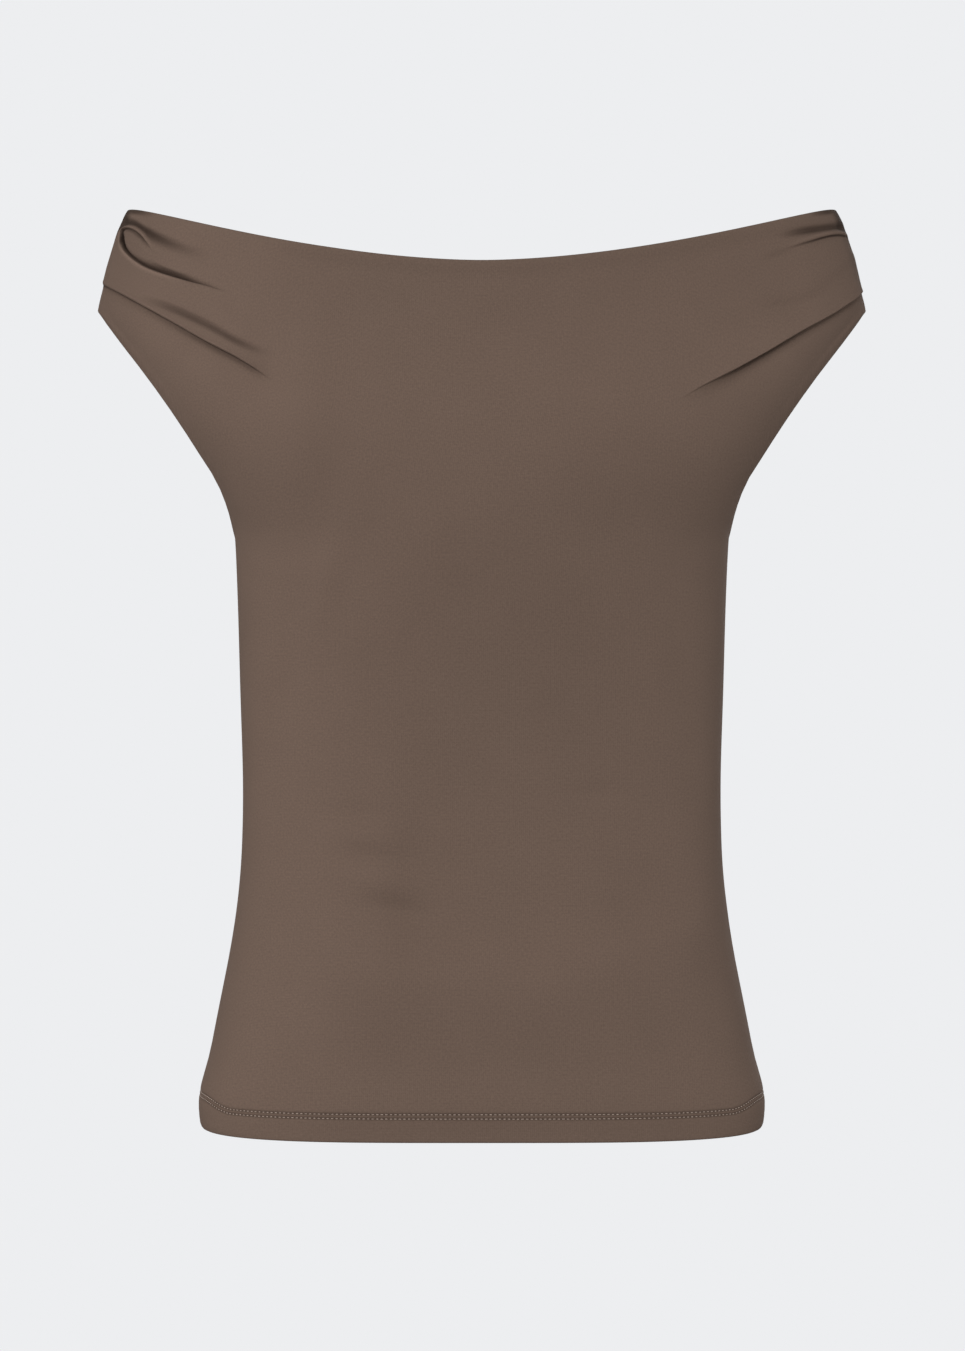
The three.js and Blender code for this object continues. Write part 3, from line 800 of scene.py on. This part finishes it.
def jersey():
    """The cloth. Its loops are a cosine across and a sine up whose phase the cosine bends. Fine
    fuzz, a faint drift of the dye and the loops vary the tone, painted shade darkens it in the
    creases and shaded parts, and a painted highlight brightens the lips."""
    material, tree = new_material("knitted_stretch_jersey")

    def math(operation, second=None, **links):
        settings = {"operation": operation} | ({} if second is None else {1: second})
        return node(tree, "ShaderNodeMath", settings, **links).outputs[0]

    def ranged(value, low, high, to_low, to_high):
        return node(tree, "ShaderNodeMapRange", {1: low, 2: high, 3: to_low, 4: to_high},
                    i0=value).outputs[0]

    def noise(size, roughness):
        settings = {"Scale": 1 / (size * MM), "Detail": 3.0, "Roughness": roughness}
        return node(tree, "ShaderNodeTexNoise", settings, vector=uv).outputs["Fac"]

    uv = node(tree, "ShaderNodeUVMap", {"uv_map": "cloth"}).outputs["UV"]
    split = node(tree, "ShaderNodeSeparateXYZ", i0=uv).outputs
    wale = math("MULTIPLY", 2 * np.pi / (WALE * MM), i0=split["X"])
    course = math("MULTIPLY", 2 * np.pi / (COURSE * MM), i0=split["Y"])
    ribs = math("COSINE", i0=wale)
    loops = math("SINE", i0=math("MULTIPLY_ADD", LOOP_BEND, i0=ribs, i2=course))
    knit = math("ADD", i0=ribs, i1=loops)
    fuzz, cloud = noise(FUZZ, 0.65), noise(CLOUD, 0.55)
    painted_shade = node(tree, "ShaderNodeAttribute", {"attribute_name": "painted_shade"}).outputs["Fac"]

    speckle = ranged(fuzz, 0.3, 0.7, 0.89, 1.11)
    drift = ranged(cloud, 0.3, 0.7, 0.98, 1.02)
    grain = ranged(knit, -2.0, 2.0, 0.975, 1.025)
    # Painted light and shade: below 0 a painted highlight makes the cloth up to 1.35 times lighter,
    # and above 0 the colour is mixed towards the painted shade colour.
    lit = ranged(painted_shade, -1.0, 0.0, 1.35, 1.0)
    tone = math("MULTIPLY", i0=math("MULTIPLY", i0=speckle, i1=drift), i1=grain)
    tone = math("MULTIPLY", i0=tone, i1=lit)
    # A mix of colours takes them at its inputs 6 and 7 and gives its output 2.
    colour = node(tree, "ShaderNodeMix", {"data_type": "RGBA", 6: JERSEY, 7: JERSEY_PAINTED_SHADE},
                  i0=painted_shade).outputs[2]
    colour = node(tree, "ShaderNodeVectorMath", {"operation": "SCALE"}, i0=colour, i3=tone)

    relief = math("MULTIPLY_ADD", 0.35, i0=knit, i2=fuzz)
    bump = node(tree, "ShaderNodeBump", {"Strength": 0.35, "Distance": 0.10 * MM}, height=relief)
    finish = {"Roughness": 0.92, "Specular IOR Level": 0.14, "Sheen Weight": 0.04,
              "Sheen Roughness": 0.6, "Sheen Tint": JERSEY_SHEEN}
    cloth = node(tree, "ShaderNodeBsdfPrincipled", finish,
                 base_color=colour.outputs[0], normal=bump.outputs[0])
    node(tree, "ShaderNodeOutputMaterial", surface=cloth.outputs[0])
    return material


def thread():
    """Spun polyester sewing thread, a little lighter than the cloth and slightly lustrous."""
    material, tree = new_material("spun_polyester_thread")
    place = node(tree, "ShaderNodeTexCoord").outputs["Object"]
    twist = node(tree, "ShaderNodeTexNoise", {"Scale": 1 / (THREAD_TWIST * MM), "Detail": 2.0},
                 vector=place).outputs["Fac"]
    colour = node(tree, "ShaderNodeMix", {"data_type": "RGBA", 6: THREAD_DARK, 7: THREAD_LIGHT},
                  i0=twist).outputs[2]
    finish = {"Roughness": 0.55, "Specular IOR Level": 0.4, "Sheen Weight": 0.1}
    fibre = node(tree, "ShaderNodeBsdfPrincipled", finish, base_color=colour)
    node(tree, "ShaderNodeOutputMaterial", surface=fibre.outputs[0])
    return material


jersey_cloth = jersey()
sewing_thread = thread()
for side in ("front", "back"):
    cloth = panel(side, jersey_cloth)
    hem = stitches(side, sewing_thread)
    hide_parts(f"{side}_panel")
    for piece in (cloth, hem):
        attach(piece, "root")


# The studio: a pale floor far below the top, which is held up as if worn, and an even pale
# surround. Its sizes are in metres.
PALE = srgb("#edeef0")
FLOOR_HEIGHT = -1.4
FLOOR_SIZE = 60.0
LIGHTS = [
    # name, place, size, watts
    ("front", (-0.45, -3.0, 0.40), 2.2, 60.0),
    ("left", (-2.6, -0.55, 0.05), 1.3, 26.0),
    ("right", (2.6, -0.55, -0.05), 1.8, 21.0),
    ("top", (0.0, -0.4, 2.4), 1.6, 6.0),
    ("rear", (0.4, 3.0, 0.60), 3.0, 64.0),
]
LIGHTS_AIM = Vector((0, 0, -0.2))
AMBIENT = 0.24


def studio():
    """The floor only shows to the camera, so that it throws no light up at the cloth."""
    mesh = bpy.data.meshes.new("pale_floor")
    half = FLOOR_SIZE / 2
    corners = [(x, y, FLOOR_HEIGHT) for x, y in ((-half, -half), (half, -half), (half, half),
                                                 (-half, half))]
    mesh.from_pydata(corners, [], [(0, 1, 2, 3)])
    floor = bpy.data.objects.new("pale_floor", mesh)
    bpy.context.scene.collection.objects.link(floor)
    floor.visible_diffuse = floor.visible_glossy = False
    material, tree = new_material("matt_pale_paint")
    glow = node(tree, "ShaderNodeEmission", {"Color": PALE})
    node(tree, "ShaderNodeOutputMaterial", surface=glow.outputs[0])
    mesh.materials.append(material)

    world = bpy.data.worlds.new("pale_surround")
    bpy.context.scene.world = world
    world.use_nodes = True
    tree = world.node_tree
    tree.nodes.clear()
    seen = node(tree, "ShaderNodeLightPath").outputs["Is Camera Ray"]
    strength = node(tree, "ShaderNodeMapRange", {1: 0.0, 2: 1.0, 3: AMBIENT, 4: 1.0}, i0=seen)
    glow = node(tree, "ShaderNodeBackground", {"Color": PALE}, strength=strength.outputs[0])
    node(tree, "ShaderNodeOutputWorld", surface=glow.outputs[0])

    for name, place, size, watts in LIGHTS:
        light = bpy.data.lights.new(name, "AREA")
        light.shape = "DISK"
        light.size = size
        light.energy = watts
        lamp = bpy.data.objects.new(name, light)
        lamp.location = place
        lamp.rotation_euler = (LIGHTS_AIM - lamp.location).to_track_quat("-Z", "Y").to_euler()
        lamp.visible_camera = False
        bpy.context.scene.collection.objects.link(lamp)


CAMERA_DISTANCE = 2.0
CAMERA_HEIGHT = 0.258       # above the hem
MM_PER_PIXEL = 0.583        # on the plane of the side seams
PHOTO_SIZE = (965, 1351)
CENTRE_PIXEL = 481.8        # the column of the photograph that the top is centred on
SENSOR = 36.0


def camera():
    lens = bpy.data.cameras.new("camera")
    lens.sensor_width = SENSOR
    lens.lens = SENSOR * CAMERA_DISTANCE / (PHOTO_SIZE[1] * MM_PER_PIXEL * MM)
    made = bpy.data.objects.new("camera", lens)
    aside = (PHOTO_SIZE[0] / 2 - CENTRE_PIXEL) * MM_PER_PIXEL * MM
    made.location = (aside, -CAMERA_DISTANCE, CAMERA_HEIGHT - HOLD_HEIGHT * MM)
    made.rotation_euler = (np.pi / 2, 0, 0)
    bpy.context.scene.collection.objects.link(made)
    bpy.context.scene.camera = made


studio()
camera()
bpy.context.scene.view_settings.view_transform = "Standard"
